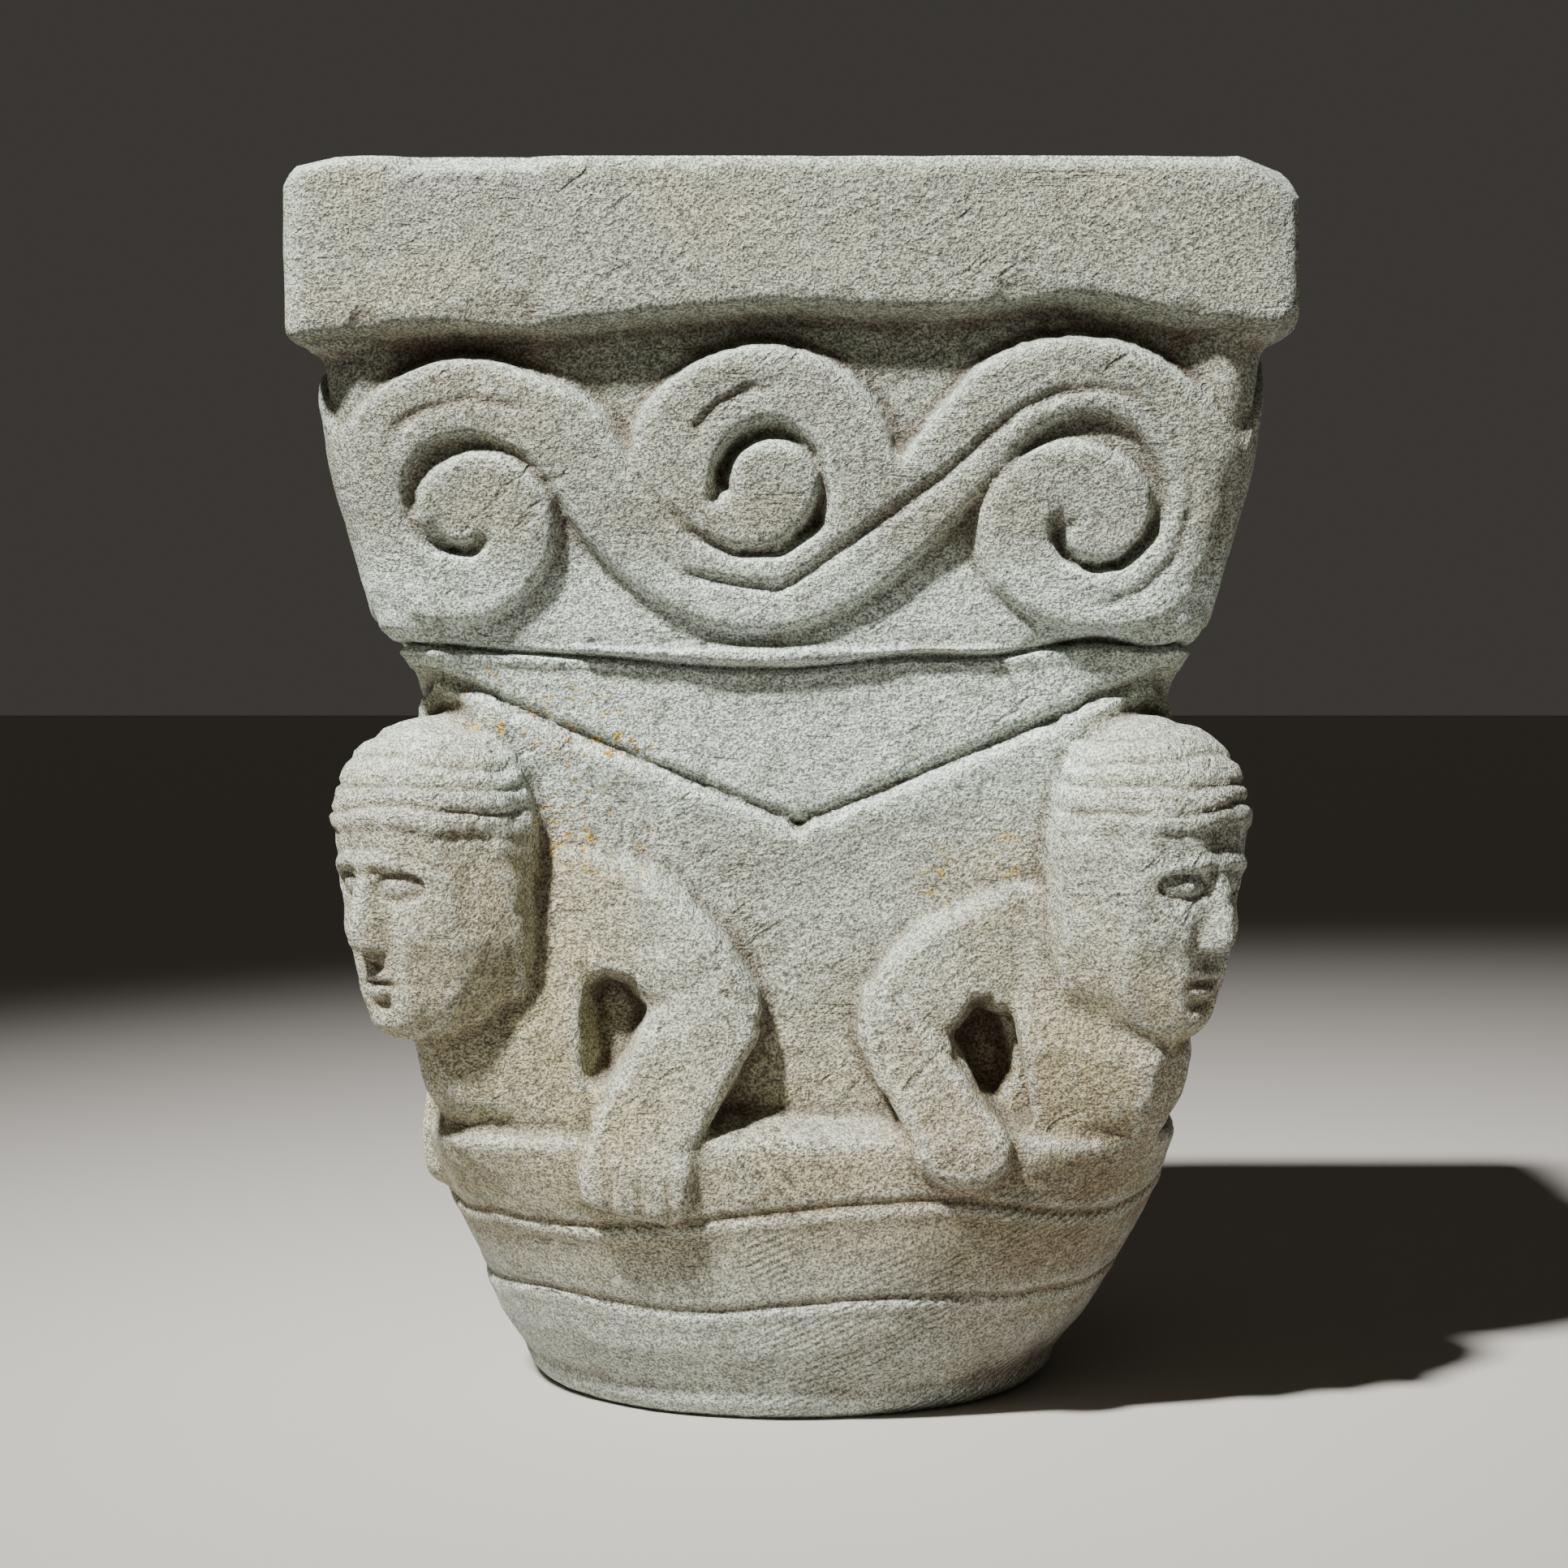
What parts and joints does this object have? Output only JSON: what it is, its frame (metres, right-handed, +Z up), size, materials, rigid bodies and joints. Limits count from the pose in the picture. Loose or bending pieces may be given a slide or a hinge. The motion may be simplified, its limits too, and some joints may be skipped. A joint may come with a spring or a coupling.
{
  "type": "historiated capital",
  "caption": "Carved sandstone column capital: square abacus, frieze of rolled scrolls, crouching corner figures gripping the rim of a ringed round bell",
  "frame": {"origin": "centre of the lower bed, on the column's axis", "axes": "+Z up the column, -Y out of the carved front, +X to the right of someone facing the front"},
  "size_m": [0.4, 0.4, 0.515],
  "materials": {
    "sandstone": "tooled and weathered, dull, with lichen and stains"
  },
  "bodies": {
    "root": {"capital": "sandstone"}
  },
  "joints": []
}
